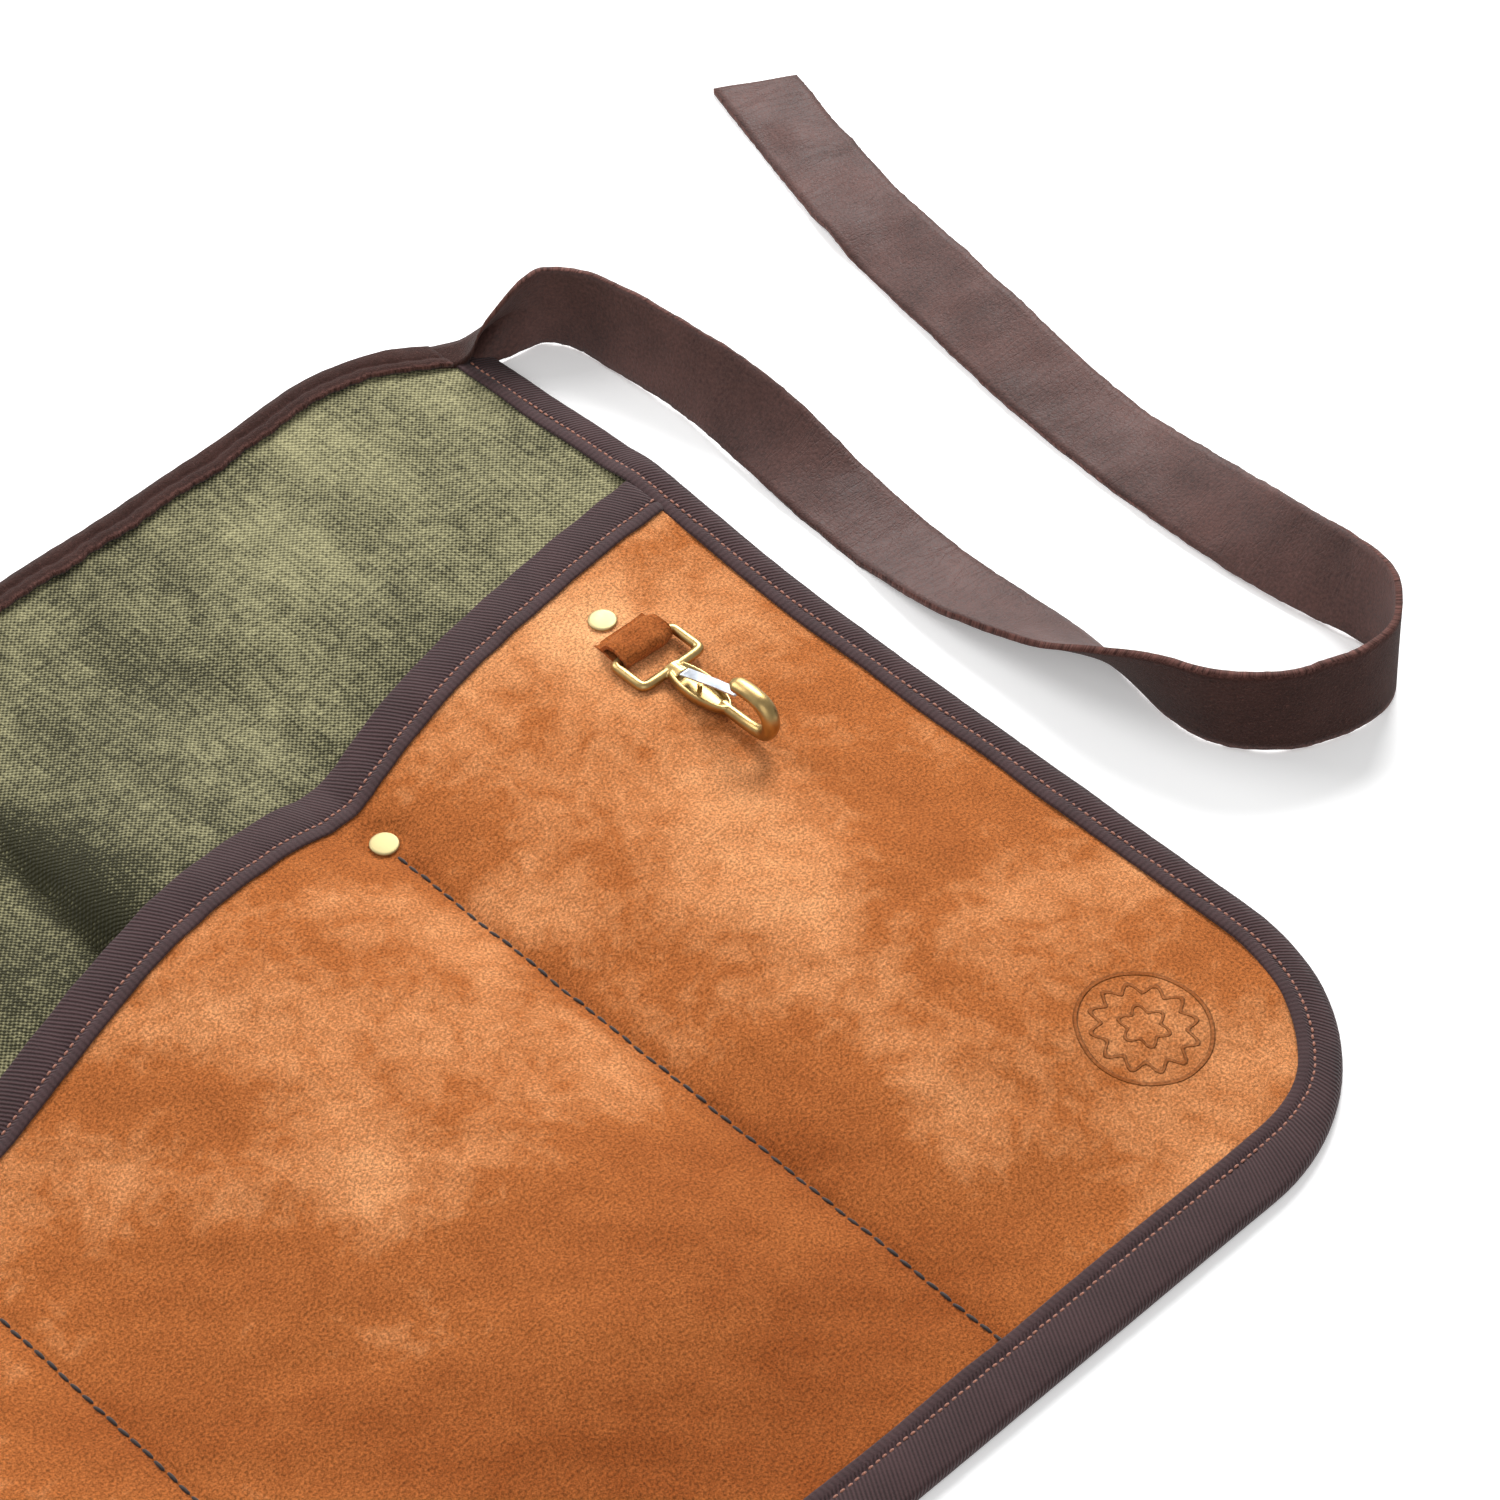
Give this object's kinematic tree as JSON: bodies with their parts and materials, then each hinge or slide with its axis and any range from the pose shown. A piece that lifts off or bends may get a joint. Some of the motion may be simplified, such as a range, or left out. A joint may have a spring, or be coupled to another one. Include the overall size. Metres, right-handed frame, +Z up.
{
  "type": "brush roll case",
  "caption": "Fabric and suede roll case laid open, with slanted pockets, bound edges, a cover flap, a snap hook on a loop and a leather tie.",
  "frame": {"origin": "centre of the underside of the open case, on the table, without the tie", "axes": "+X along the case towards the end with the hook and the tie, +Y from the pockets' closed ends to the flap's top edge, +Z up from the table"},
  "size_m": [0.69, 0.452, 0.0297],
  "materials": {
    "canvas": "coarse plain-weave olive canvas",
    "suede": "tan suede with a fine nap",
    "tape": "dark ribbed binding tape with rust stitching",
    "leather": "dark brown leather, smooth on one side and rough on the other",
    "thread": "thick dark sewing thread",
    "brass": "polished cast brass",
    "steel": "bright spring steel"
  },
  "bodies": {
    "column_1": {"canvas_panel_1": "canvas", "suede_pocket_1": "suede", "mouth_tape_1": "tape", "bottom_tape_1": "tape", "side_tape_1": "tape", "flap_tape_1": "tape", "leather_band_1": "leather", "rivet_hook": "brass", "rivet_hook_back": "brass", "rivet_divider_1": "brass", "rivet_divider_1_back": "brass", "divider_stitch_1": "thread", "hook_loop": "suede", "tie_strap": "leather"},
    "column_2": {"canvas_panel_2": "canvas", "suede_pocket_2": "suede", "mouth_tape_2": "tape", "bottom_tape_2": "tape", "leather_band_2": "leather", "rivet_divider_2": "brass", "rivet_divider_2_back": "brass", "divider_stitch_2": "thread"},
    "column_3": {"canvas_panel_3": "canvas", "suede_pocket_3": "suede", "mouth_tape_3": "tape", "bottom_tape_3": "tape", "side_tape_3": "tape", "flap_tape_3": "tape", "leather_band_3": "leather"},
    "hook": {"snap_hook": "brass", "hook_lug": "brass"},
    "tongue": {"spring_tongue": "steel"}
  },
  "joints": [
    {"name": "roll_1", "type": "hinge", "parent": "column_1", "child": "column_2", "pos_m": [0.08575, 0, 0.0037], "axis": [0, 1, 0], "range_deg": [0, 118]},
    {"name": "roll_2", "type": "hinge", "parent": "column_2", "child": "column_3", "pos_m": [-0.10075, 0, 0.0037], "axis": [0, 1, 0], "range_deg": [0, 118]},
    {"name": "hook_swing", "type": "hinge", "parent": "column_1", "child": "hook", "pos_m": [0.19675, 0.05095, 0.01347], "axis": [-1, 0, 0], "range_deg": [0, 115]},
    {"name": "tongue_flex", "type": "hinge", "parent": "hook", "child": "tongue", "pos_m": [0.19675, 0.03305, 0.01577], "axis": [1, 0, 0], "range_deg": [0, 12], "stiffness_Nm_per_rad": 0.01}
  ]
}
